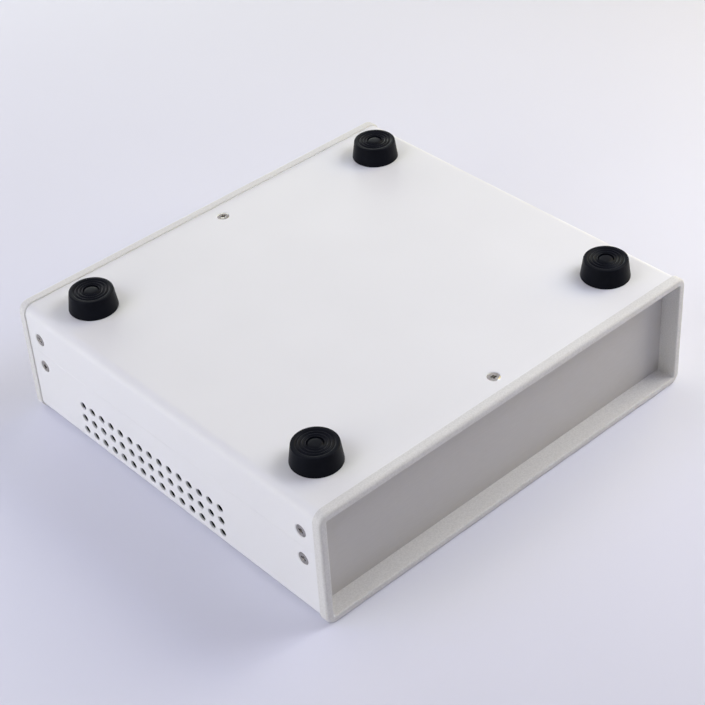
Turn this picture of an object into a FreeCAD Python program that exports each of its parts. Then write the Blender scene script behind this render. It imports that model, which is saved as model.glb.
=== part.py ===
# Desktop instrument enclosure, 190 x 177 x 51.5 mm without its feet, in millimetres.
#
# It lies on its top side, with its feet up: z = 0 is the surface that it lies on, and +Z points
# towards the feet. +X runs along the front bezel, -Y is the front, and the origin is under the
# middle of the case.
#
# Two folded steel covers meet at a seam along each side. A moulded bezel closes each end: its rim
# stands a little proud of the covers, its spigot reaches under them, and bosses on its tongues take
# the cover screws. A flat panel lies on the back of each spigot, held there by the bosses. Four
# rubber feet are pinned to the bottom cover by snap rivets.

import FreeCAD, Part
import math
import os

# The case
case_width = 190.0
case_depth = 177.0
case_height = 51.5

# The covers
sheet = 1.2
cover_step = 0.6
fold_radius = 4.0
seam_height = 32.0
seam_gap = 0.3
lap_depth = 3.5
lap_clearance = 2.0

# The bezels
bezel_band = 4.0
bezel_corner = 4.5
rim_round = 1.2
opening_chamfer = 0.4
opening_corner = 0.8
recess_depth = 8.2
spigot_wall = 1.3
fit_gap = 0.1

# The tongues and bosses behind the panels
boss_size = 7.0
boss_length = 8.0
boss_rib = 1.6

# The panels
panel_thickness = 1.2
panel_gap = 0.2

# The countersunk cover screws
screw_from_end = 11.3
screw_from_seam = 6.5
head_radius = 2.75
head_sink = 0.05
thread_radius = 1.5
thread_gap = 0.05
thread_length = 6.0
cross_width = 0.8
cross_span = 3.0
cross_depth = 1.0

# The vent holes
vent_columns = 15
vent_rows = 3
vent_pitch = 6.0
vent_diameter = 3.3
vent_sides = 12
vent_from_rear = 35.4
vent_low_row = 7.0

# The feet
foot_from_side = 20.0
foot_from_end = 23.5
foot_base_radius = 9.8
foot_end_radius = 8.7
foot_height = 7.9
foot_chamfer = 0.5
foot_rim = 1.4
ring_pitch = 1.35
ring_depth = 0.5
ring_count = 3

# The snap rivets in the feet
rivet_head_radius = 3.0
rivet_dome = 0.5
rivet_well = 1.1
rivet_gap = 0.15
rivet_stem_radius = 1.9
rivet_barb = 0.6
rivet_tip = 2.6

# Places that follow from the sizes above
front_y = -case_depth / 2
cover_half_length = case_depth / 2 - bezel_band
cover_half_width = case_width / 2 - cover_step
cover_top = case_height - cover_step
spigot_inset = cover_step + sheet + fit_gap
spigot_half_width = case_width / 2 - spigot_inset
rim_wall = spigot_inset + spigot_wall
panel_front_y = front_y + recess_depth
panel_back_y = panel_front_y + panel_thickness
screw_line = case_depth / 2 - screw_from_end
boss_front_y = panel_back_y + fit_gap
boss_back_y = -screw_line + boss_size / 2
side_screw_heights = (seam_height - screw_from_seam, seam_height + screw_from_seam)
head_depth = head_radius - thread_radius

x_axis = FreeCAD.Vector(1, 0, 0)
y_axis = FreeCAD.Vector(0, 1, 0)
z_axis = FreeCAD.Vector(0, 0, 1)
middle = FreeCAD.Vector(0, 0, 0)


def block(x_range, y_range, z_range):
    low = FreeCAD.Vector(min(x_range), min(y_range), min(z_range))
    high = FreeCAD.Vector(max(x_range), max(y_range), max(z_range))
    size = high - low
    return Part.makeBox(size.x, size.y, size.z, low)


def rounded_block(inset, corner, y_range):
    """A block as wide and high as the case less an inset all round, rounded about the Y axis."""
    half_width = case_width / 2 - inset
    plain = block((-half_width, half_width), y_range, (inset, case_height - inset))
    long_edges = [edge for edge in plain.Edges if abs(edge.tangentAt(edge.FirstParameter).y) > 0.5]
    return plain.makeFillet(corner, long_edges)


def edges_on_front(shape, y, inset):
    """The edges in the plane at y that run round the case at an inset from its outline."""
    found = []
    for edge in shape.Edges:
        box = edge.BoundBox
        flat = abs(box.YMin - y) < 1e-4 and abs(box.YMax - y) < 1e-4
        reach = max(abs(box.XMin), abs(box.XMax), box.ZMax + case_width / 2 - case_height,
                    case_width / 2 - box.ZMin)
        if flat and abs(case_width / 2 - reach - inset) < 1e-3:
            found.append(edge)
    return found


def mirrored(shape, axis):
    return shape.mirror(middle, axis)


def turned_profile(points):
    """A solid of revolution about the Z axis from an outline of radius and height pairs."""
    corners = [FreeCAD.Vector(radius, 0, height) for radius, height in points]
    outline = Part.makePolygon(corners + corners[:1])
    return Part.Face(outline).revolve(middle, z_axis, 360)


def aimed(shape, place, direction):
    """Turns a shape made along +Z to point along a direction, and moves it to its place."""
    copy = shape.copy()
    copy.Placement = FreeCAD.Placement(place, FreeCAD.Rotation(z_axis, direction))
    return copy


# Screws: each screw points out of the case along its own direction, with its head at the cover's
# outer face.


def screw_seat():
    """The room that a screw takes in the cover and the boss under it, along +Z from the face."""
    wide = head_radius + fit_gap
    narrow = thread_radius + thread_gap
    cone_end = -(wide - narrow)
    deep = -head_sink - thread_length - fit_gap
    return turned_profile([(0, sheet), (wide, sheet), (wide, 0), (narrow, cone_end),
                           (narrow, deep), (0, deep)])


def cover_screw():
    """A countersunk screw with a cross recess, along +Z with its head just under z = 0."""
    top = -head_sink
    tip = top - thread_length
    body = turned_profile([(0, top), (head_radius, top), (thread_radius, top - head_depth),
                           (thread_radius, tip), (0, tip)])
    half_span = cross_span / 2
    half_width = cross_width / 2
    depth = (top - cross_depth, top + sheet)
    slot = block((-half_span, half_span), (-half_width, half_width), depth)
    cross = slot.fuse(block((-half_width, half_width), (-half_span, half_span), depth))
    return body.cut(cross)


def screw_places():
    """The name, place and outward direction of each cover screw."""
    places = {}
    for end, y in (("front", -screw_line), ("rear", screw_line)):
        places["base_screw_" + end] = (FreeCAD.Vector(0, y, cover_top), z_axis)
        for side, sign in (("left", -1), ("right", 1)):
            for cover, height in zip(("top_cover", "bottom_cover"), side_screw_heights):
                place = FreeCAD.Vector(sign * cover_half_width, y, height)
                places[f"{cover}_screw_{side}_{end}"] = (place, x_axis * sign)
    return places


def all_screw_seats():
    seat = screw_seat()
    return [aimed(seat, place, direction) for place, direction in screw_places().values()]


# Covers


def cover_tube():
    """Both covers as one tube: the sheet with its folds, before the seam is cut."""
    reach = (-cover_half_length, cover_half_length)
    outside = rounded_block(cover_step, fold_radius, reach)
    inside_reach = (-case_depth, case_depth)
    return outside.cut(rounded_block(cover_step + sheet, fold_radius - sheet, inside_reach))


def half_tube(low, high):
    across = (-case_width, case_width)
    return cover_tube().common(block(across, (-case_depth, case_depth), (low, high)))


def seam_laps():
    """The strips inside the bottom cover's sides that reach past the seam behind the top cover."""
    outer = cover_half_width - sheet
    reach = -boss_back_y - lap_clearance
    strip = block((outer - sheet, outer), (-reach, reach),
                  (seam_height - lap_depth, seam_height + lap_depth))
    return [strip, mirrored(strip, x_axis)]


def vent_rod(y, z):
    """A rod through both sides of the case: one vent hole each side, with enough sides to be round."""
    turns = [2 * math.pi * (side + 0.5) / vent_sides for side in range(vent_sides + 1)]
    radius = vent_diameter / 2
    corners = [FreeCAD.Vector(-case_width, y + radius * math.cos(turn), z + radius * math.sin(turn))
               for turn in turns]
    return Part.Face(Part.makePolygon(corners)).extrude(x_axis * 2 * case_width)


def vent_holes():
    last = case_depth / 2 - vent_from_rear
    return [vent_rod(last - column * vent_pitch, vent_low_row + row * vent_pitch)
            for row in range(vent_rows) for column in range(vent_columns)]


def bottom_cover():
    shell = half_tube(seam_height + seam_gap / 2, case_height)
    shell = shell.fuse(seam_laps()).removeSplitter()
    stem_hole = rivet_stem_radius + rivet_gap
    rivet_holes = [Part.makeCylinder(stem_hole, 3 * sheet, place - z_axis * 2 * sheet)
                   for place in foot_places().values()]
    return shell.cut(all_screw_seats() + rivet_holes)


def top_cover():
    shell = half_tube(0, seam_height - seam_gap / 2)
    return shell.cut(all_screw_seats() + vent_holes())


# Bezels


def bezel_ring():
    """The rim and the spigot behind it, with the opening that shows the panel."""
    rim = rounded_block(0, bezel_corner, (front_y, front_y + bezel_band))
    rim = rim.makeFillet(rim_round, edges_on_front(rim, front_y, 0))
    spigot_corner = fold_radius - sheet - fit_gap
    spigot = rounded_block(spigot_inset, spigot_corner, (front_y + bezel_band - sheet, panel_front_y))
    opening = rounded_block(rim_wall, opening_corner, (front_y - sheet, panel_front_y + sheet))
    ring = rim.fuse(spigot).cut(opening)
    return ring.makeChamfer(opening_chamfer, edges_on_front(ring, front_y, rim_wall))


def side_tongue():
    """The tongue on the +X side with its two bosses and the rib between them."""
    outer = spigot_half_width
    inner = outer - spigot_wall
    low, high = side_screw_heights
    across = boss_size / 2
    tongue = block((inner, outer), (panel_front_y - sheet, boss_back_y), (low - across, high + across))
    bosses = [block((outer - boss_length, outer), (boss_front_y, boss_back_y),
                    (height - across, height + across)) for height in side_screw_heights]
    rib = block((outer - boss_length / 2, outer), (boss_front_y, boss_front_y + boss_rib), (low, high))
    return tongue.fuse(bosses + [rib])


def base_tongue():
    """The tongue under the bottom cover with the boss for the base screw."""
    outer = case_height - spigot_inset
    across = boss_size / 2
    width = (-across, across)
    tongue = block(width, (panel_front_y - sheet, boss_back_y), (outer - spigot_wall, outer))
    return tongue.fuse(block(width, (boss_front_y, boss_back_y), (outer - boss_length, outer)))


def front_bezel():
    side = side_tongue()
    whole = bezel_ring().fuse([side, mirrored(side, x_axis), base_tongue()]).removeSplitter()
    return whole.cut(all_screw_seats())


# Panels


def front_panel():
    """A flat plate on the back of the spigot, notched where the tongues pass it."""
    inset = spigot_inset + panel_gap
    corner = fold_radius - sheet - fit_gap - panel_gap
    plate = rounded_block(inset, corner, (panel_front_y, panel_back_y))
    reach = (panel_front_y - sheet, panel_back_y + sheet)
    across = boss_size / 2 + panel_gap
    low, high = side_screw_heights
    side = block((spigot_half_width - spigot_wall - panel_gap, case_width), reach,
                 (low - across, high + across))
    base_floor = case_height - spigot_inset - spigot_wall - panel_gap
    base = block((-across, across), reach, (base_floor, case_height))
    return plate.cut([side, mirrored(side, x_axis), base])


# Feet


def foot_places():
    """The middle of each foot on the bottom cover's outer face."""
    far_x = case_width / 2 - foot_from_side
    far_y = case_depth / 2 - foot_from_end
    places = {}
    for end, y in (("front", -far_y), ("rear", far_y)):
        for side, x in (("left", -far_x), ("right", far_x)):
            places[f"{side}_{end}"] = FreeCAD.Vector(x, y, cover_top)
    return places


def foot():
    """A turned rubber foot with a ringed free end and a well for its rivet."""
    well = rivet_head_radius + rivet_gap
    well_floor = foot_height - rivet_well
    stem_hole = rivet_stem_radius + rivet_gap
    outline = [(foot_base_radius, 0), (foot_end_radius, foot_height - foot_chamfer),
               (foot_end_radius - foot_chamfer, foot_height)]
    first_ring = foot_end_radius - foot_rim
    for number in range(ring_count):
        outer = first_ring - number * ring_pitch
        outline += [(outer, foot_height), (outer - ring_pitch / 2, foot_height - ring_depth)]
    outline += [(first_ring - ring_count * ring_pitch, foot_height), (well, foot_height),
                (well, well_floor), (stem_hole, well_floor), (stem_hole, 0)]
    return turned_profile(outline)


def foot_rivet():
    """A snap rivet: a domed head in the foot's well, and a barb under the cover."""
    floor = foot_height - rivet_well
    crown = foot_height - rivet_gap
    barb_top = -sheet - rivet_gap
    tip = barb_top - rivet_tip
    barb = rivet_stem_radius + rivet_barb
    return turned_profile([(0, tip), (rivet_stem_radius, tip), (barb, barb_top),
                           (rivet_stem_radius, barb_top), (rivet_stem_radius, floor),
                           (rivet_head_radius, floor), (rivet_head_radius, crown - rivet_dome),
                           (rivet_head_radius - 2 * rivet_dome, crown), (0, crown)])


def enclosure():
    """Every piece of the enclosure under its node's name."""
    bezel = front_bezel()
    panel = front_panel()
    pieces = {
        "bottom_cover": bottom_cover(),
        "top_cover": top_cover(),
        "front_bezel": bezel,
        "rear_bezel": mirrored(bezel, y_axis),
        "front_panel": panel,
        "rear_panel": mirrored(panel, y_axis),
    }
    for name, place in foot_places().items():
        pieces["foot_" + name] = aimed(foot(), place, z_axis)
        pieces["foot_rivet_" + name] = aimed(foot_rivet(), place, z_axis)
    for name, (place, direction) in screw_places().items():
        pieces[name] = aimed(cover_screw(), place, direction)
    return pieces


def single_solid(name, shape):
    if len(shape.Solids) != 1 or not shape.isValid():
        raise RuntimeError(f"{name} is not one valid solid")
    return shape.Solids[0]


os.makedirs("parts", exist_ok=True)
for name, shape in enclosure().items():
    solid = single_solid(name, shape)
    solid.exportStep(os.path.join("parts", name + ".step"))
    print(f"{name}: {solid.Volume:.1f} mm3")
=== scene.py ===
import bmesh
import bpy
import math
import random
from mathutils import Matrix, Vector

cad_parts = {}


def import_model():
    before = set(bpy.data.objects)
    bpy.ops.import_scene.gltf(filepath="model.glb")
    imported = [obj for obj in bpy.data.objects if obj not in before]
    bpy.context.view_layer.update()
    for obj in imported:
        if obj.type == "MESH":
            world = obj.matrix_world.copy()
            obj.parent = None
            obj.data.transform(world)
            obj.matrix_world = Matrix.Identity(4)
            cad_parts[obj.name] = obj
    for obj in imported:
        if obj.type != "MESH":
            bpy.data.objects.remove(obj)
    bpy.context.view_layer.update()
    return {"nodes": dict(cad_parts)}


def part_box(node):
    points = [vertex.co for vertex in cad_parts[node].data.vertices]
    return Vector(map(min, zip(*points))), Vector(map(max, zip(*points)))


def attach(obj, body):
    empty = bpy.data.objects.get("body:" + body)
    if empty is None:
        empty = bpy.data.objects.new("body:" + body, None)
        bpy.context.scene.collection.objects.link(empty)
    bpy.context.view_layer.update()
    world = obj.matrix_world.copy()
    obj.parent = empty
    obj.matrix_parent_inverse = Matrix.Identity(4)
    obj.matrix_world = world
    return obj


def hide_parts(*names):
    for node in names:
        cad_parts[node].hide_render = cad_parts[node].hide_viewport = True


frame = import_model()

MM = 0.001

# The case, read from the frame
bezel_low, bezel_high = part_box("front_bezel")
cover_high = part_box("bottom_cover")[1]
panel_low, panel_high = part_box("front_panel")
foot_low, foot_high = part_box("foot_right_rear")
HALF_WIDTH = bezel_high.x
CASE_HEIGHT = bezel_high.z
FRONT_Y = bezel_low.y
COVER_HALF_WIDTH = cover_high.x
COVER_END = cover_high.y
COVER_TOP = cover_high.z
COVER_STEP = CASE_HEIGHT - COVER_TOP
SEAM_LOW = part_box("top_cover")[1].z
PANEL_FRONT = panel_low.y
PANEL_BACK = panel_high.y
FOOT_HEIGHT = foot_high.z - foot_low.z
FOOT_BASE_RADIUS = (foot_high.x - foot_low.x) / 2

# The folded covers
SHEET = 1.2 * MM
FOLD_RADIUS = 4.0 * MM
SEAM_GAP = 0.04 * MM  # a hairline, as in the photograph
LAP_DEPTH = 3.5 * MM
LAP_REACH = 71.7 * MM
CUT_EDGE = 0.06 * MM

# The vents in the sides of the top cover
VENT_COLUMNS = 15
VENT_ROWS = 3
VENT_PITCH = 6.0 * MM
VENT_DIAMETER = 3.3 * MM
VENT_LAST_Y = 53.1 * MM
VENT_LOW_ROW = 7.0 * MM
VENT_ROUND = 0.35 * MM
UNSHADED_HOLE_DEPTH = 0.82 * MM  # how far into a hole the white coat shows before the painted shade of the inside starts

# The moulded bezels
BEZEL_BAND = 4.0 * MM
BEZEL_CORNER = 4.5 * MM
RIM_ROUND = 1.2 * MM
BAND_ROUND = 0.3 * MM
OPENING_CORNER = 0.8 * MM
OPENING_ROUND = 0.5 * MM
RIM_WALL = 3.2 * MM
FIT_GAP = 0.1 * MM
BOSS_SIZE = 7.0 * MM
BOSS_LENGTH = 8.0 * MM
BOSS_RIB = 1.6 * MM
UNITE_STEP = 0.3 * MM  # so that united parts share no face

# The cover screws
SCREW_LINE = 77.2 * MM
SCREW_HEIGHTS = {"top_cover": 25.5 * MM, "bottom_cover": 38.5 * MM}
HEAD_RADIUS = 2.75 * MM
HEAD_SINK = 0.05 * MM
HEAD_DISH = 0.16 * MM
HEAD_EDGE = 0.3 * MM
HEAD_EDGE_ROUND = 0.06 * MM
DISH_RADIUS = 0.45 * HEAD_RADIUS
DISH_SLOPE = 0.8 * HEAD_DISH
CREST_RADIUS = 0.74 * HEAD_RADIUS
CREST_ROUND = 0.35 * MM
NECK_STEP = 0.1 * MM
THREAD_RADIUS = 1.5 * MM
THREAD_CORE = 1.22 * MM
THREAD_PITCH = 0.5 * MM
THREAD_LENGTH = 6.0 * MM
THREAD_FLANK = 0.42 * THREAD_PITCH
THREAD_ROOT = THREAD_CORE - 0.05 * MM
THREAD_END = 0.1 * MM
TIP_TAPER = 0.3 * MM
CROSS_WIDTH = 0.9 * MM
CROSS_SPAN = 3.4 * MM
CROSS_DEPTH = 1.6 * MM
CROSS_TAPER = (0.35, 0.6, 1)  # the size of a blade's tip against its top
CROSS_CORE = 0.75 * MM
CORE_TIP = 0.45 * CROSS_CORE
CORE_DEEPER = 0.1 * MM
SCREW_SEED = 5

# The rubber feet and their snap rivets
FOOT_END_RADIUS = 8.7 * MM
FOOT_RIM = 1.4 * MM
RING_PITCH = 1.35 * MM
RING_DEPTH = 0.5 * MM
RING_COUNT = 3
FOOT_END_ROUND = 0.45 * MM
FOOT_BASE_ROUND = 0.2 * MM
RING_CREST_ROUND = 0.1 * MM
RING_TROUGH_ROUND = 0.2 * MM
RIVET_HEAD_RADIUS = 3.0 * MM
RIVET_HEAD_SIDE = 0.45 * MM
RIVET_HEAD_ROUND = 0.2 * MM
RIVET_SHOULDER_RADIUS = 0.8 * RIVET_HEAD_RADIUS
RIVET_SHOULDER_DROP = 0.08 * MM
RIVET_SHOULDER_ROUND = 0.5 * MM
RIVET_DOME_RADIUS = 0.45 * RIVET_HEAD_RADIUS
RIVET_DOME_DROP = 0.01 * MM
RIVET_WELL = 1.1 * MM
RIVET_GAP = 0.15 * MM
RIVET_STEM_RADIUS = 1.9 * MM
RIVET_BARB = 0.6 * MM
RIVET_TIP = 2.6 * MM

# How finely round shapes are divided
FOLD_STEPS = 10
CORNER_STEPS = 10
RIM_STEPS = 6
BAND_STEPS = 3
OPENING_STEPS = 4
VENT_STEPS = 3
TURNED_STEPS = 3
EDGE_STEPS = 2
HOLE_SIDES = 32
FOOT_SIDES = 96
SCREW_SIDES = 48
THREAD_SIDES = 20

# Angles in degrees past which an edge is softened or shaded sharp
SOFTEN_ANGLE = 40
SHARP_ANGLE = 35
TURNED_SHARP_ANGLE = 50
LARGE_FACE_WEIGHT = 80  # how far the large faces lead the shading of the ones beside them

CORNER_ANGLE = 1.0  # in radians: an edge whose faces meet past it is a corner, not part of a curve
TINY = 1e-6  # in metres: less than this counts as nothing


# Working in edit mode


def deselect_all():
    bpy.ops.object.select_all(action="DESELECT")
    bpy.context.view_layer.objects.active = None


def named(name):
    """Names the primitive that was just added, and its mesh."""
    piece = bpy.context.object
    piece.name = name
    piece.data.name = name
    return piece


def make_active(piece):
    deselect_all()
    piece.select_set(True)
    bpy.context.view_layer.objects.active = piece


def edit(piece):
    """Enters edit mode on one piece with nothing selected."""
    make_active(piece)
    bpy.ops.object.mode_set(mode="EDIT")
    bpy.ops.mesh.select_mode(type="VERT")
    bpy.ops.mesh.select_all(action="DESELECT")


def finish_edit():
    bpy.ops.object.mode_set(mode="OBJECT")


def choose(kind, test):
    """Selects the vertices, edges or faces whose middle passes a test, and nothing else."""
    piece = bpy.context.edit_object
    bpy.ops.mesh.select_mode(type=kind)
    bpy.ops.mesh.select_all(action="DESELECT")
    mesh = bmesh.from_edit_mesh(piece.data)
    lists = {"VERT": mesh.verts, "EDGE": mesh.edges, "FACE": mesh.faces}
    for element in lists[kind]:
        if kind == "VERT":
            middle = element.co
        elif kind == "EDGE":
            middle = (element.verts[0].co + element.verts[1].co) / 2
        else:
            middle = element.calc_center_median()
        if test(middle, element):
            element.select_set(True)
    mesh.select_flush_mode()
    bmesh.update_edit_mesh(piece.data)


def near(a, b):
    return abs(a - b) < TINY


def is_corner(edge):
    return edge.calc_face_angle(0) > CORNER_ANGLE


def recalculate_normals(piece):
    edit(piece)
    bpy.ops.mesh.select_all(action="SELECT")
    bpy.ops.mesh.remove_doubles(threshold=TINY)
    bpy.ops.mesh.normals_make_consistent(inside=False)
    finish_edit()


def apply_modifier(piece, kind, **settings):
    """Adds a modifier with its settings and applies it."""
    make_active(piece)
    modifier = piece.modifiers.new(kind.title(), kind)
    for key, value in settings.items():
        setattr(modifier, key, value)
    bpy.ops.object.modifier_apply(modifier=modifier.name)


def cut(piece, *cutters, operation="DIFFERENCE"):
    """Cuts pieces out of a piece, or unites them with it, and deletes them."""
    for cutter in cutters:
        apply_modifier(piece, "BOOLEAN", operation=operation, object=cutter, solver="EXACT")
        bpy.data.objects.remove(cutter)


def join(pieces, name):
    deselect_all()
    for piece in pieces:
        piece.select_set(True)
    bpy.context.view_layer.objects.active = pieces[0]
    bpy.ops.object.join()
    return named(name)


def set_in_place(piece, place, turn=None):
    """Moves and turns the mesh itself, and leaves the object at the origin."""
    matrix = Matrix.Translation(place)
    if turn is not None:
        matrix = matrix @ turn.to_matrix().to_4x4()
    piece.data.transform(matrix)
    piece.data.update()
    return piece


def copy_of(piece, name):
    make_active(piece)
    bpy.ops.object.duplicate()
    return named(name)


def smooth(piece, angle):
    """Smooth shading with sharp edges past an angle, and flat faces kept flat."""
    make_active(piece)
    bpy.ops.object.shade_smooth_by_angle(angle=math.radians(angle), keep_sharp_edges=False)
    apply_modifier(piece, "WEIGHTED_NORMAL", keep_sharp=True, weight=LARGE_FACE_WEIGHT)


def soften_edges(piece, width):
    apply_modifier(piece, "BEVEL", width=width, segments=EDGE_STEPS, limit_method="ANGLE",
                   angle_limit=math.radians(SOFTEN_ANGLE), use_clamp_overlap=True,
                   miter_outer="MITER_ARC")


def block(name, low, high):
    """A cube primitive drawn out to two corners."""
    bpy.ops.mesh.primitive_cube_add(size=1)
    piece = named(name)
    edit(piece)
    bpy.ops.mesh.select_all(action="SELECT")
    size = Vector(high) - Vector(low)
    bpy.ops.transform.resize(value=size)
    bpy.ops.transform.translate(value=(Vector(high) + Vector(low)) / 2)
    finish_edit()
    return piece


def rod(name, radius, ends, place, axis, sides=HOLE_SIDES):
    """A round rod with its axis along X or Z through a place."""
    bpy.ops.mesh.primitive_cylinder_add(vertices=sides, radius=radius, depth=1)
    piece = named(name)
    edit(piece)
    bpy.ops.mesh.select_all(action="SELECT")
    length = ends[1] - ends[0]
    bpy.ops.transform.resize(value=(1, 1, length))
    bpy.ops.transform.translate(value=(0, 0, (ends[0] + ends[1]) / 2))
    finish_edit()
    return set_in_place(piece, place, Vector((0, 0, 1)).rotation_difference(Vector(axis)))


def turned(name, outline, sides, round_corners=()):
    """Spins an outline of radius and height pairs about the Z axis. round_corners, pairs of a width
    and a list of the outline's points, rounds corners of it first."""
    bpy.ops.mesh.primitive_plane_add(size=1)
    piece = named(name)
    edit(piece)
    bpy.ops.mesh.select_all(action="SELECT")
    bpy.ops.mesh.merge(type="CENTER")
    radius, height = outline[0]
    bpy.ops.transform.translate(value=(radius, 0, height))
    for (r1, h1), (r2, h2) in zip(outline, outline[1:]):
        step = (r2 - r1, 0, h2 - h1)
        bpy.ops.mesh.extrude_region_move(TRANSFORM_OT_translate={"value": step})
    for width, corners in round_corners:
        spots = [Vector((r, 0, h)) for r, h in corners]
        choose("VERT", lambda middle, _: any((middle - spot).length < TINY for spot in spots))
        bpy.ops.mesh.bevel(offset=width, segments=TURNED_STEPS, affect="VERTICES")
    bpy.ops.mesh.select_all(action="SELECT")
    bpy.ops.mesh.spin(steps=sides, angle=2 * math.pi, center=(0, 0, 0), axis=(0, 0, 1))
    finish_edit()
    recalculate_normals(piece)
    return piece


# The covers


def folded_sheet(name, base, rim):
    """A sheet at one height whose two long sides are folded over to another height."""
    bpy.ops.mesh.primitive_plane_add(size=2)
    piece = named(name)
    edit(piece)
    bpy.ops.mesh.select_all(action="SELECT")
    bpy.ops.transform.resize(value=(COVER_HALF_WIDTH, COVER_END, 1))
    bpy.ops.transform.translate(value=(0, 0, base))
    choose("EDGE", lambda middle, _: near(abs(middle.x), COVER_HALF_WIDTH))
    bpy.ops.mesh.extrude_edges_move(TRANSFORM_OT_translate={"value": (0, 0, rim - base)})
    choose("EDGE", lambda middle, _: near(abs(middle.x), COVER_HALF_WIDTH)
           and near(middle.z, base) and near(middle.y, 0))
    bpy.ops.mesh.bevel(offset=FOLD_RADIUS, segments=FOLD_STEPS, affect="EDGES")
    bpy.ops.mesh.select_all(action="SELECT")
    bpy.ops.mesh.normals_make_consistent(inside=False)
    mesh = bmesh.from_edit_mesh(piece.data)
    base_face = max(mesh.faces, key=lambda face: face.calc_area())
    if base_face.normal.z * (base - rim) < 0:
        bpy.ops.mesh.flip_normals()
    finish_edit()
    apply_modifier(piece, "SOLIDIFY", thickness=SHEET, offset=-1, use_even_offset=True)
    return piece


def lap_strip(side):
    """The strip inside the bottom cover's side that reaches past the seam."""
    outer = COVER_HALF_WIDTH - SHEET
    left, right = sorted((side * (outer - SHEET), side * outer))
    middle = SEAM_LOW + SEAM_GAP / 2
    return block("lap_strip", (left, -LAP_REACH, middle - LAP_DEPTH),
                 (right, LAP_REACH, middle + LAP_DEPTH))


def screw_places():
    """Each cover screw's name, place on the cover and outward direction."""
    places = {}
    for end, y in (("front", -SCREW_LINE), ("rear", SCREW_LINE)):
        places["base_screw_" + end] = (Vector((0, y, COVER_TOP)), Vector((0, 0, 1)))
        for side, sign in (("left", -1), ("right", 1)):
            for cover, height in SCREW_HEIGHTS.items():
                place = Vector((sign * COVER_HALF_WIDTH, y, height))
                places[f"{cover}_screw_{side}_{end}"] = (place, Vector((sign, 0, 0)))
    return places


def foot_places():
    """The middle of each foot on the bottom cover's outer face, from the frame."""
    places = {}
    for end in ("front", "rear"):
        for side in ("left", "right"):
            low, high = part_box(f"foot_{side}_{end}")
            places[f"{side}_{end}"] = Vector(((low.x + high.x) / 2, (low.y + high.y) / 2,
                                              COVER_TOP))
    return places


def screw_seat(place, direction):
    """The room for one screw: a countersink in the cover and a bore in the boss."""
    wide = HEAD_RADIUS + FIT_GAP
    narrow = THREAD_RADIUS + FIT_GAP / 2
    deep = -HEAD_SINK - THREAD_LENGTH - FIT_GAP
    outline = [(0, SHEET), (wide, SHEET), (wide, 0), (narrow, narrow - wide), (narrow, deep),
               (0, deep)]
    seat = turned("screw_seat", outline, HOLE_SIDES)
    return set_in_place(seat, place, Vector((0, 0, 1)).rotation_difference(direction))


def seats_for(words):
    return [screw_seat(place, direction) for name, (place, direction) in screw_places().items()
            if any(word in name for word in words)]


def vent_rods():
    """One rod for each pair of vents, through both sides of the case."""
    rods = []
    for row in range(VENT_ROWS):
        for column in range(VENT_COLUMNS):
            y = VENT_LAST_Y - column * VENT_PITCH
            z = VENT_LOW_ROW + row * VENT_PITCH
            rods.append(rod("vent_rod", VENT_DIAMETER / 2, (-HALF_WIDTH, HALF_WIDTH), (0, y, z),
                            (1, 0, 0)))
    return join(rods, "vent_rods")


def bottom_cover(paint):
    cover = folded_sheet("bottom_cover_sheet", COVER_TOP, SEAM_LOW + SEAM_GAP)
    cut(cover, lap_strip(-1), lap_strip(1), operation="UNION")
    stem_hole = RIVET_STEM_RADIUS + RIVET_GAP
    holes = [rod("rivet_hole", stem_hole, (-2 * SHEET, SHEET), place, (0, 0, 1))
             for place in foot_places().values()]
    cut(cover, *seats_for(["base_screw", "bottom_cover"]), *holes)
    return dress(cover, "bottom_cover", paint, edge=CUT_EDGE)


def round_vents(cover):
    """Rounds the vents' outer rims, which the punch draws in and the coat fills."""
    low = (VENT_LAST_Y - VENT_COLUMNS * VENT_PITCH, VENT_LOW_ROW - VENT_PITCH)
    high = (VENT_LAST_Y + VENT_PITCH, VENT_LOW_ROW + VENT_ROWS * VENT_PITCH)

    def is_rim(middle, edge):
        in_field = low[0] < middle.y < high[0] and low[1] < middle.z < high[1]
        return near(abs(middle.x), COVER_HALF_WIDTH) and in_field and is_corner(edge)

    edit(cover)
    choose("EDGE", is_rim)
    bpy.ops.mesh.bevel(offset=VENT_ROUND, segments=VENT_STEPS, affect="EDGES")
    finish_edit()


def top_cover(paint):
    cover = folded_sheet("top_cover_sheet", COVER_STEP, SEAM_LOW)
    cut(cover, vent_rods(), *seats_for(["top_cover"]))
    round_vents(cover)
    return dress(cover, "top_cover", paint, edge=2 * CUT_EDGE)


# The bezels


def rounded_bar(name, inset, corner, start, end):
    """A bar along Y inside the case's outline, with its four long edges rounded."""
    bar = block(name, (inset - HALF_WIDTH, start, inset),
                (HALF_WIDTH - inset, end, CASE_HEIGHT - inset))
    edit(bar)
    choose("EDGE", lambda middle, _: near(middle.y, (start + end) / 2))
    bpy.ops.mesh.bevel(offset=corner, segments=CORNER_STEPS, affect="EDGES")
    finish_edit()
    return bar


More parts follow.
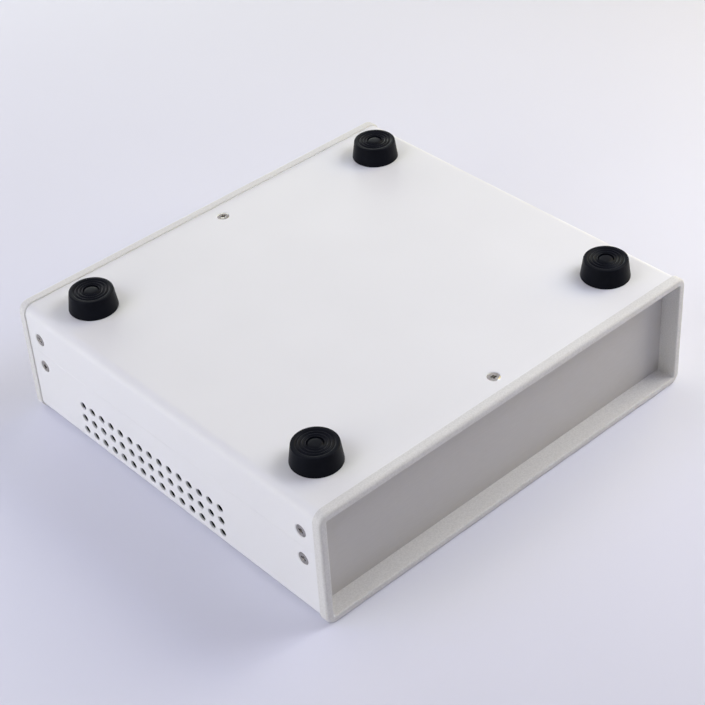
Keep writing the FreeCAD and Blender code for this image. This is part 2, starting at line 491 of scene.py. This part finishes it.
def bezel_ring():
    """The rim and the spigot behind it, hollow, with the rim's outer and inner edges rounded."""
    spigot_inset = COVER_STEP + SHEET + FIT_GAP
    ring = rounded_bar("bezel_ring", 0, BEZEL_CORNER, FRONT_Y, FRONT_Y + BEZEL_BAND)
    edit(ring)
    choose("FACE", lambda middle, _: near(middle.y, FRONT_Y))
    bpy.ops.mesh.bevel(offset=RIM_ROUND, segments=RIM_STEPS, affect="EDGES")
    finish_edit()
    edit(ring)
    choose("FACE", lambda middle, _: near(middle.y, FRONT_Y + BEZEL_BAND))
    bpy.ops.mesh.bevel(offset=BAND_ROUND, segments=BAND_STEPS, affect="EDGES")
    finish_edit()
    spigot = rounded_bar("spigot", spigot_inset, FOLD_RADIUS - SHEET - FIT_GAP, FRONT_Y + RIM_ROUND,
                         PANEL_FRONT)
    cut(ring, spigot, operation="UNION")
    cut(ring, rounded_bar("opening", RIM_WALL, OPENING_CORNER, FRONT_Y - RIM_ROUND,
                          PANEL_FRONT + RIM_ROUND))
    edit(ring)
    choose("EDGE", lambda middle, edge: near(middle.y, FRONT_Y) and is_corner(edge))
    bpy.ops.mesh.bevel(offset=OPENING_ROUND, segments=OPENING_STEPS, affect="EDGES")
    finish_edit()
    recalculate_normals(ring)
    return ring


def side_tongue(side):
    """The tongue on one side of the bezel with its two bosses and the rib between them."""
    outer = HALF_WIDTH - COVER_STEP - SHEET - FIT_GAP
    wall = RIM_WALL - COVER_STEP - SHEET - FIT_GAP
    low, high = SCREW_HEIGHTS["top_cover"], SCREW_HEIGHTS["bottom_cover"]
    across = BOSS_SIZE / 2
    boss_front = PANEL_BACK + FIT_GAP
    boss_back = -SCREW_LINE + across

    def spanning(name, depths, y_range, z_range):
        """A block between two depths under the outer face of the tongue."""
        near_side, far_side = sorted(side * (outer - depth) for depth in depths)
        return block(name, (near_side, y_range[0], z_range[0]), (far_side, y_range[1], z_range[1]))

    tongue = spanning("tongue", (0, wall), (PANEL_FRONT - SHEET, boss_back - UNITE_STEP),
                      (low - across - UNITE_STEP, high + across + UNITE_STEP))
    bosses = [spanning("boss", (wall - UNITE_STEP, BOSS_LENGTH), (boss_front, boss_back),
                       (height - across, height + across)) for height in (low, high)]
    rib = spanning("rib", (wall - 2 * UNITE_STEP, BOSS_LENGTH / 2),
                   (boss_front + UNITE_STEP, boss_front + UNITE_STEP + BOSS_RIB), (low, high))
    return [tongue, *bosses, rib]


def base_tongue():
    outer = CASE_HEIGHT - COVER_STEP - SHEET - FIT_GAP
    wall = RIM_WALL - COVER_STEP - SHEET - FIT_GAP
    across = BOSS_SIZE / 2
    boss_back = -SCREW_LINE + across
    tongue = block("tongue", (-across - UNITE_STEP, PANEL_FRONT - SHEET, outer - wall),
                   (across + UNITE_STEP, boss_back - UNITE_STEP, outer))
    boss = block("boss", (-across, PANEL_BACK + FIT_GAP, outer - BOSS_LENGTH),
                 (across, boss_back, outer - wall + UNITE_STEP))
    return [tongue, boss]


def bezels(plastic):
    """The front bezel, and the rear one as a copy of it turned end for end."""
    front = bezel_ring()
    cut(front, *side_tongue(-1), *side_tongue(1), *base_tongue(), operation="UNION")
    cut(front, *seats_for(["_front"]))
    rear = copy_of(front, "rear_bezel_moulding")
    edit(rear)
    bpy.ops.mesh.select_all(action="SELECT")
    bpy.ops.transform.rotate(value=math.pi, orient_axis="Z", center_override=(0, 0, 0))
    finish_edit()
    front.name = front.data.name = "front_bezel_moulding"
    dress(front, "front_bezel", plastic)
    dress(rear, "rear_bezel", plastic)


# The feet and their rivets


def foot_outline():
    """The foot's section and the corners that the mould leaves soft."""
    well = RIVET_HEAD_RADIUS + RIVET_GAP
    well_floor = FOOT_HEIGHT - RIVET_WELL
    stem_hole = RIVET_STEM_RADIUS + RIVET_GAP
    base_edge = (FOOT_BASE_RADIUS, 0)
    end_edge = (FOOT_END_RADIUS, FOOT_HEIGHT)
    first = FOOT_END_RADIUS - FOOT_RIM
    crests = []
    troughs = []
    for number in range(RING_COUNT):
        outer = first - number * RING_PITCH
        crests.append((outer, FOOT_HEIGHT))
        troughs.append((outer - RING_PITCH / 2, FOOT_HEIGHT - RING_DEPTH))
    last = (first - RING_COUNT * RING_PITCH, FOOT_HEIGHT)
    rings = [point for pair in zip(crests, troughs) for point in pair]
    outline = [(stem_hole, 0), base_edge, end_edge, *rings, last, (well, well_floor),
               (stem_hole, well_floor), (stem_hole, 0)]
    rounding = [(FOOT_END_ROUND, [end_edge]), (FOOT_BASE_ROUND, [base_edge]),
                (RING_CREST_ROUND, crests + [last]), (RING_TROUGH_ROUND, troughs)]
    return outline, rounding


def feet(rubber):
    outline, rounding = foot_outline()
    first = turned("foot", outline, FOOT_SIDES, rounding)
    for name, place in foot_places().items():
        foot = set_in_place(copy_of(first, "foot_" + name + "_rubber"), place)
        dress(foot, "foot_" + name, rubber, angle=TURNED_SHARP_ANGLE)
    bpy.data.objects.remove(first)


def rivets(nylon):
    floor = FOOT_HEIGHT - RIVET_WELL
    crown = FOOT_HEIGHT - RIVET_GAP
    barb_top = -SHEET - RIVET_GAP
    tip = barb_top - RIVET_TIP
    barb = RIVET_STEM_RADIUS + RIVET_BARB
    head_edge = (RIVET_HEAD_RADIUS, crown - RIVET_HEAD_SIDE)
    shoulder = (RIVET_SHOULDER_RADIUS, crown - RIVET_SHOULDER_DROP)
    outline = [(0, tip), (RIVET_STEM_RADIUS, tip), (barb, barb_top), (RIVET_STEM_RADIUS, barb_top),
               (RIVET_STEM_RADIUS, floor), (RIVET_HEAD_RADIUS, floor), head_edge, shoulder,
               (RIVET_DOME_RADIUS, crown - RIVET_DOME_DROP), (0, crown)]
    rounding = [(RIVET_HEAD_ROUND, [head_edge]), (RIVET_SHOULDER_ROUND, [shoulder])]
    first = turned("rivet", outline, SCREW_SIDES, rounding)
    for name, place in foot_places().items():
        rivet = set_in_place(copy_of(first, "foot_rivet_" + name + "_nylon"), place)
        dress(rivet, "foot_rivet_" + name, nylon, angle=TURNED_SHARP_ANGLE)
    bpy.data.objects.remove(first)


# The screws


def cross_blade(turn):
    """One blade of the driver that presses the cross recess, narrower at its tip."""
    deep = -HEAD_SINK - CROSS_DEPTH
    blade = block("cross_blade", (-CROSS_SPAN / 2, -CROSS_WIDTH / 2, deep),
                  (CROSS_SPAN / 2, CROSS_WIDTH / 2, SHEET))
    edit(blade)
    choose("FACE", lambda middle, _: near(middle.z, deep))
    bpy.ops.transform.resize(value=CROSS_TAPER)
    finish_edit()
    blade.data.transform(Matrix.Rotation(turn, 4, "Z"))
    return blade


def cross_core():
    """The cone in the middle of the driver, where its blades meet."""
    deep = -HEAD_SINK - CROSS_DEPTH - CORE_DEEPER
    outline = [(0, SHEET), (CROSS_CORE, SHEET), (CROSS_CORE, -HEAD_SINK - HEAD_DISH),
               (CORE_TIP, deep), (0, deep)]
    return turned("cross_core", outline, THREAD_SIDES)


def screw_thread(top, tip):
    """The thread's ridge, wound round the core as one helical strip closed at both ends."""
    bpy.ops.mesh.primitive_plane_add(size=1)
    ridge = named("thread_ridge")
    edit(ridge)
    bpy.ops.mesh.select_all(action="SELECT")
    bpy.ops.mesh.merge(type="CENTER")
    bpy.ops.transform.translate(value=(THREAD_ROOT, 0, tip + THREAD_END))
    rise = THREAD_RADIUS - THREAD_ROOT
    for step in ((rise, 0, THREAD_FLANK), (-rise, 0, THREAD_FLANK)):
        bpy.ops.mesh.extrude_region_move(TRANSFORM_OT_translate={"value": step})
    bpy.ops.mesh.select_all(action="SELECT")
    bpy.ops.mesh.edge_face_add()
    finish_edit()
    turns = int((top - tip - 2 * THREAD_END) / THREAD_PITCH) - 1
    apply_modifier(ridge, "SCREW", axis="Z", angle=2 * math.pi, screw_offset=THREAD_PITCH,
                   iterations=turns, steps=THREAD_SIDES, render_steps=THREAD_SIDES,
                   use_merge_vertices=True, merge_threshold=TINY)
    edit(ridge)
    bpy.ops.mesh.select_non_manifold()
    bpy.ops.mesh.fill_holes(sides=3)
    finish_edit()
    recalculate_normals(ridge)
    return ridge


def first_screw():
    """A countersunk screw along +Z with its head just under z = 0."""
    top = -HEAD_SINK
    tip = top - THREAD_LENGTH
    neck = top - (HEAD_RADIUS - THREAD_RADIUS) - NECK_STEP
    taper = tip + TIP_TAPER
    crest = (CREST_RADIUS, top)
    edge = (HEAD_RADIUS, top - HEAD_EDGE)
    outline = [(0, top - HEAD_DISH), (DISH_RADIUS, top - DISH_SLOPE), crest, edge,
               (THREAD_CORE, neck), (THREAD_CORE, taper), (THREAD_CORE - TIP_TAPER, tip), (0, tip)]
    rounding = [(CREST_ROUND, [crest]), (HEAD_EDGE_ROUND, [edge])]
    screw = turned("cover_screw", outline, SCREW_SIDES, rounding)
    cut(screw, cross_blade(0), cross_blade(math.pi / 2), cross_core())
    ridge = screw_thread(neck, taper)
    return join([screw, ridge], "cover_screw")


def screws(steel):
    first = first_screw()
    turns = random.Random(SCREW_SEED)
    for name, (place, direction) in screw_places().items():
        screw = copy_of(first, name + "_steel")
        screw.data.transform(Matrix.Rotation(turns.uniform(0, math.pi / 2), 4, "Z"))
        set_in_place(screw, place, Vector((0, 0, 1)).rotation_difference(direction))
        dress(screw, name, steel)
    bpy.data.objects.remove(first)


# Materials


def srgb(text):
    """A hex colour as linear red, green, blue and alpha, by the sRGB curve."""
    values = [int(text[i:i + 2], 16) / 255 for i in (1, 3, 5)]
    linear = [v / 12.92 if v <= 0.04045 else ((v + 0.055) / 1.055) ** 2.4 for v in values]
    return (*linear, 1.0)


def add_node(tree, kind, settings=None, **inputs):
    """Adds a node. Each input, found by its identifier or its label, takes a value or the output
    of another node."""
    node = tree.nodes.new(kind)
    for key, value in (settings or {}).items():
        setattr(node, key, value)
    for key, value in inputs.items():
        by_identifier = [socket for socket in node.inputs if socket.identifier == key]
        target = by_identifier[0] if by_identifier else node.inputs[key.replace("_", " ")]
        if isinstance(value, bpy.types.NodeSocket):
            tree.links.new(value, target)
        else:
            target.default_value = value
    return node


def new_material(name, colour, roughness, metallic=0.0, specular=0.5):
    """A material with its even values on the shader, its tree and the place on the object."""
    material = bpy.data.materials.new(name)
    material.use_nodes = True
    tree = material.node_tree
    shader = tree.nodes["Principled BSDF"]
    shader.inputs["Base Color"].default_value = srgb(colour)
    shader.inputs["Roughness"].default_value = roughness
    shader.inputs["Metallic"].default_value = metallic
    shader.inputs["Specular IOR Level"].default_value = specular
    place = add_node(tree, "ShaderNodeTexCoord").outputs["Object"]
    return material, tree, shader, place


def grain(tree, place, size, detail=2.0, stretch=None):
    """Noise with cells of a real size in metres, drawn out along the axes by stretch."""
    if stretch:
        place = add_node(tree, "ShaderNodeMapping", Vector=place, Scale=stretch).outputs["Vector"]
    noise = add_node(tree, "ShaderNodeTexNoise", Vector=place, Scale=1 / size, Detail=detail)
    return noise.outputs["Fac"]


def calculate(tree, operation, first, second):
    """What an operation makes of two numbers, each a value or another node's output."""
    node = add_node(tree, "ShaderNodeMath", {"operation": operation}, Value=first, Value_001=second)
    return node.outputs["Value"]


def length_of(tree, vector):
    node = add_node(tree, "ShaderNodeVectorMath", {"operation": "LENGTH"}, Vector=vector)
    return node.outputs["Value"]


def between(tree, factor, low, high, start=0.3, end=0.7):
    """Turns a factor into a number between low and high, reached at its start and end."""
    node = add_node(tree, "ShaderNodeMapRange", Value=factor)
    for label, value in (("From Min", start), ("From Max", end), ("To Min", low), ("To Max", high)):
        node.inputs[label].default_value = value
    return node.outputs["Result"]


def shade(tree, shader, factor, first, second):
    """Mixes two colours, hex ones or an earlier mix, by a factor into the shader's base colour."""
    first, second = (srgb(hue) if isinstance(hue, str) else hue for hue in (first, second))
    mix = add_node(tree, "ShaderNodeMix", {"data_type": "RGBA"}, Factor_Float=factor,
                   A_Color=first, B_Color=second)
    mixed = next(socket for socket in mix.outputs if socket.identifier == "Result_Color")
    tree.links.new(mixed, shader.inputs["Base Color"])
    return mixed


def vary_roughness(tree, shader, factor, low, high):
    tree.links.new(between(tree, factor, low, high), shader.inputs["Roughness"])


def relief(tree, shader, *layers):
    """Raises the surface by heights in metres, each layer's bump feeding the next."""
    normal = None
    for factor, height in layers:
        bump = add_node(tree, "ShaderNodeBump", Height=factor, Distance=height)
        if normal is not None:
            tree.links.new(normal, bump.inputs["Normal"])
        normal = bump.outputs["Normal"]
    tree.links.new(normal, shader.inputs["Normal"])


def painted_shade_inside(tree, place):
    """Where the painted shade goes: one on the covers' inner faces and deep in the holes, and
    nought outside. There the distance from the straight middle of the folded outline is less than
    the fold's radius without the unshaded hole depth."""
    middle = (COVER_TOP + COVER_STEP) / 2
    core = (COVER_HALF_WIDTH - FOLD_RADIUS, 0, COVER_TOP - middle - FOLD_RADIUS)
    offset = place
    for operation, other in (("SUBTRACT", (0, 0, middle)), ("ABSOLUTE", None), ("SUBTRACT", core),
                             ("MAXIMUM", (0, 0, 0)), ("MULTIPLY", (1, 0, 1))):
        extra = {} if other is None else {"Vector_001": other}
        offset = add_node(tree, "ShaderNodeVectorMath", {"operation": operation}, Vector=offset,
                          **extra).outputs["Vector"]
    return calculate(tree, "LESS_THAN", length_of(tree, offset), FOLD_RADIUS - UNSHADED_HOLE_DEPTH)


def powder_coat():
    """White fine powder coat: an even satin white whose slight orange peel breaks up reflections.
    Past a small depth in the holes, and on the covers' inner faces, the coat is painted near black.
    This is painted shade for the dark inside the closed case, so that the vents look black."""
    material, tree, shader, place = new_material("white_powder_coat", "#E7E7E8", 0.42,
                                                 specular=0.38)
    peel = grain(tree, place, 1.1 * MM)
    cloud = grain(tree, place, 34 * MM, detail=1.0)
    coat = shade(tree, shader, between(tree, cloud, 0, 1), "#E6E6E7", "#E8E8E9")
    # Painted shade: near black on the covers' inner faces and deep in the vents, for the dark
    # inside the closed case.
    shade(tree, shader, painted_shade_inside(tree, place), coat, "#161617")
    vary_roughness(tree, shader, peel, 0.38, 0.46)
    relief(tree, shader, (peel, 0.012 * MM))
    return material


def moulded_abs():
    """Light grey ABS from a spark-eroded mould: a dry fine grain that shows as faint speckle."""
    material, tree, shader, place = new_material("moulded_abs", "#D8D7D5", 0.55)
    speckle = grain(tree, place, 0.6 * MM, detail=3.0)
    shade(tree, shader, between(tree, speckle, 0, 1, 0.35, 0.65), "#D1D0CD", "#DDDCD9")
    vary_roughness(tree, shader, speckle, 0.5, 0.62)
    relief(tree, shader, (speckle, 0.055 * MM))
    return material


def anodised_sheet():
    """Matt anodised sheet: even light grey with the faint drawn-out grain of rolled aluminium."""
    material, tree, shader, place = new_material("anodised_aluminium", "#C5C3C0", 0.5)
    rolled = grain(tree, place, 0.4 * MM, stretch=(0.08, 1, 1))
    shade(tree, shader, between(tree, rolled, 0, 1), "#C3C1BE", "#C7C5C2")
    vary_roughness(tree, shader, rolled, 0.46, 0.54)
    relief(tree, shader, (rolled, 0.004 * MM))
    return material


def black_rubber():
    """Moulded rubber: blue-black and satin, with a fine grain that keeps highlights short."""
    material, tree, shader, place = new_material("black_rubber", "#0D0F15", 0.38, specular=0.05)
    skin = grain(tree, place, 0.35 * MM, detail=3.0)
    bloom = grain(tree, place, 5 * MM)
    shade(tree, shader, between(tree, bloom, 0, 1), "#0B0D13", "#0F1118")
    vary_roughness(tree, shader, skin, 0.34, 0.46)
    relief(tree, shader, (skin, 0.01 * MM))
    return material


def black_nylon():
    """Moulded nylon: a little smoother than the rubber, so that the domed heads catch light."""
    material, tree, shader, place = new_material("black_nylon", "#0D0F14", 0.34, specular=0.06)
    flow = grain(tree, place, 1.6 * MM, stretch=(1, 0.4, 1))
    shade(tree, shader, between(tree, flow, 0, 1), "#0B0D12", "#0F1117")
    vary_roughness(tree, shader, flow, 0.3, 0.4)
    relief(tree, shader, (flow, 0.006 * MM))
    return material


def nickel_plate():
    """Nickel-plated steel: warm bright metal whose fine pits and pale patches dull the mirror."""
    material, tree, shader, place = new_material("nickel_plated_steel", "#ADA8A1", 0.24,
                                                 metallic=1.0)
    pits = grain(tree, place, 0.18 * MM, detail=3.0)
    patches = grain(tree, place, 1.5 * MM)
    shade(tree, shader, between(tree, patches, 0, 1), "#9D9991", "#BBB7B0")
    vary_roughness(tree, shader, patches, 0.1, 0.2)
    relief(tree, shader, (patches, 0.045 * MM), (pits, 0.006 * MM))
    return material


def dress(piece, node, material, edge=None, angle=SHARP_ANGLE):
    """Finishes a piece that stands for a node: edges, shading, material and place in the frame."""
    if edge:
        soften_edges(piece, edge)
    smooth(piece, angle)
    piece.data.materials.clear()
    piece.data.materials.append(material)
    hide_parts(node)
    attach(piece, "root")
    return piece


def panels(metal):
    for node in ("front_panel", "rear_panel"):
        panel = frame["nodes"][node]
        panel.data.materials.clear()
        panel.data.materials.append(metal)


# The room


FLOOR_SIZE = 3.0
FLOOR_FADE = (0.45, 0.85)  # metres from the case where the floor starts to fade and is gone
BACKDROP = "#E6E6F0"
AMBIENT = 0.18  # the share of the backdrop that lights things


def seen_ray(tree):
    """One for what the eye, a gloss or a glass sees, and nought for the light on things."""
    path = add_node(tree, "ShaderNodeLightPath")
    seen = path.outputs["Is Camera Ray"]
    for kind in ("Is Glossy Ray", "Is Transmission Ray"):
        seen = calculate(tree, "MAXIMUM", seen, path.outputs[kind])
    return seen


def floor():
    """A matt pale floor that passes into the backdrop well outside the photograph's frame."""
    bpy.ops.mesh.primitive_plane_add(size=FLOOR_SIZE)
    ground = named("floor")
    material, tree, shader, place = new_material("pale_floor", "#E0E1ED", 0.7)
    cloud = grain(tree, place, 220 * MM, detail=1.0)
    shade(tree, shader, between(tree, cloud, 0, 1), "#DFE0EC", "#E1E2EE")
    faded = between(tree, length_of(tree, place), 0, 1, *FLOOR_FADE)
    lost = calculate(tree, "MULTIPLY", seen_ray(tree), faded)
    glow = add_node(tree, "ShaderNodeEmission", Color=srgb(BACKDROP)).outputs["Emission"]
    mix = add_node(tree, "ShaderNodeMixShader", Fac=lost, Shader=shader.outputs["BSDF"],
                   Shader_001=glow)
    tree.links.new(mix.outputs["Shader"], tree.nodes["Material Output"].inputs["Surface"])
    ground.data.materials.append(material)


# Where each softbox stands: degrees round from +X, degrees up, metres away, width and height in
# metres, then its power in watts and its colour.
SOFTBOXES = {
    "right_card": (0, 14, 0.95, 0.50, 0.30, 0.86, "#FFF8CF"),
    "right": (0, 42, 0.95, 0.50, 0.50, 1.53, "#FFEB9C"),
    "right_rear_card": (60, 14, 0.95, 0.50, 0.30, 1.97, "#F6FFF0"),
    "rear_card": (90, 14, 0.95, 0.50, 0.30, 1.79, "#FFFBFC"),
    "rear_high": (120, 65, 2.00, 1.00, 1.00, 2.29, "#FFF2FF"),
    "left_rear_strip": (150, 5, 0.60, 0.60, 0.08, 0.43, "#F6FFF2"),
    "left_rear": (150, 42, 0.95, 0.50, 0.50, 1.43, "#C4C4FF"),
    "left_card": (180, 14, 0.95, 0.50, 0.30, 1.70, "#FFF6F3"),
    "left": (180, 42, 0.95, 0.50, 0.50, 1.62, "#F8FFEC"),
    "front": (300, 52, 0.50, 0.25, 0.25, 0.21, "#EBDFFF"),
    "right_front_low": (330, 22, 0.50, 0.25, 0.25, 0.40, "#FFE9A3"),
    "right_front": (330, 42, 0.95, 0.50, 0.50, 2.29, "#FDFBFF"),
    "right_front_high": (330, 52, 0.50, 0.25, 0.25, 0.46, "#C0DBFF"),
}


def softboxes():
    """Stands each softbox on its place, turned to the case."""
    for name, values in SOFTBOXES.items():
        round_angle, up_angle, distance, width, height, power, colour = values
        light = bpy.data.lights.new(name, "AREA")
        light.shape = "RECTANGLE"
        light.size, light.size_y = width, height
        light.energy = power
        light.color = srgb(colour)[:3]
        turn = math.radians(round_angle)
        rise = math.radians(up_angle)
        place = distance * Vector((math.cos(rise) * math.cos(turn),
                                   math.cos(rise) * math.sin(turn), math.sin(rise)))
        lamp = bpy.data.objects.new(name, light)
        bpy.context.scene.collection.objects.link(lamp)
        lamp.location = place
        lamp.rotation_euler = (-place).to_track_quat("-Z", "Y").to_euler()


def world():
    """A pale backdrop that gives only a little light of its own."""
    sky = bpy.data.worlds.new("studio")
    sky.use_nodes = True
    tree = sky.node_tree
    background = tree.nodes["Background"]
    background.inputs["Color"].default_value = srgb(BACKDROP)
    tree.links.new(between(tree, seen_ray(tree), AMBIENT, 1, 0, 1), background.inputs["Strength"])
    bpy.context.scene.world = sky


# The camera was fitted to the photograph: its place, the direction it looks in and its upright.
CAMERA_PLACE = Vector((-363.477, -427.830, 454.478)) * MM
CAMERA_VIEW = Vector((0.51189, 0.60328, -0.61157))
CAMERA_UP = Vector((0.44601, 0.42181, 0.78940))
CAMERA_LENS = 91.086
CAMERA_CLIP = 0.01


def camera():
    lens = bpy.data.cameras.new("camera")
    lens.lens = CAMERA_LENS
    lens.clip_start = CAMERA_CLIP
    viewer = bpy.data.objects.new("camera", lens)
    bpy.context.scene.collection.objects.link(viewer)
    right = CAMERA_VIEW.cross(CAMERA_UP).normalized()
    turn = Matrix((right, CAMERA_UP, -CAMERA_VIEW)).transposed()
    viewer.matrix_world = Matrix.Translation(CAMERA_PLACE) @ turn.to_4x4()
    bpy.context.scene.camera = viewer


paint = powder_coat()
bottom_cover(paint)
top_cover(paint)
bezels(moulded_abs())
panels(anodised_sheet())
feet(black_rubber())
rivets(black_nylon())
screws(nickel_plate())

bpy.context.scene.view_settings.view_transform = "Standard"
floor()
world()
softboxes()
camera()
